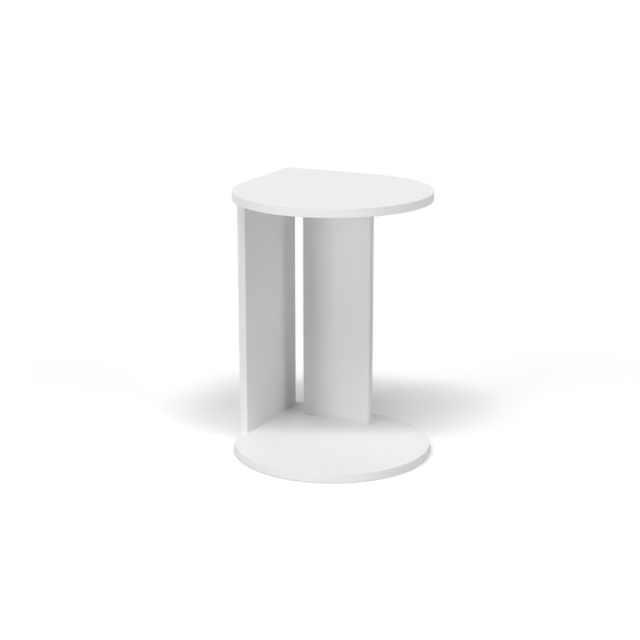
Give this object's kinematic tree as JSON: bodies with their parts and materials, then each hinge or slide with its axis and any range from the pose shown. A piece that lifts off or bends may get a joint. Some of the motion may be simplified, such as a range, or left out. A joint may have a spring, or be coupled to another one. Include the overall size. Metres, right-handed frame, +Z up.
{
  "type": "side table",
  "caption": "Side table with a teardrop top over a matching base, held apart by two upright panels set square to each other with a gap between them.",
  "frame": {"origin": "on the floor under the centre of the round edge, which is also the middle of the table's box", "axes": "+Z up, -Y to the open front, -X to the side of the long panel; the square corner points to -X and +Y"},
  "size_m": [0.42, 0.42, 0.57],
  "materials": {
    "white_board": "particle board faced in satin white melamine",
    "white_edging": "satin white edging strip, eased edges",
    "white_plastic": "moulded white plastic",
    "glide_plastic": "pale grey polyethylene",
    "plated_steel": "bright zinc plating",
    "die_cast_zinc": "plain die casting",
    "beech": "fluted, uncoated"
  },
  "bodies": {
    "root": {"top_board": "white_board", "top_edge_band": "white_edging", "base_board": "white_board", "base_edge_band": "white_edging", "left_panel": "white_board", "left_panel_front_edge": "white_edging", "left_panel_back_edge": "white_edging", "right_panel": "white_board", "right_panel_inner_edge": "white_edging", "right_panel_outer_edge": "white_edging", "top_dowels": "beech", "base_dowels": "beech", "cam_bolts": "plated_steel", "cam_locks": "die_cast_zinc", "cam_caps": "white_plastic", "base_screws": "plated_steel", "glides": "glide_plastic"}
  },
  "joints": []
}
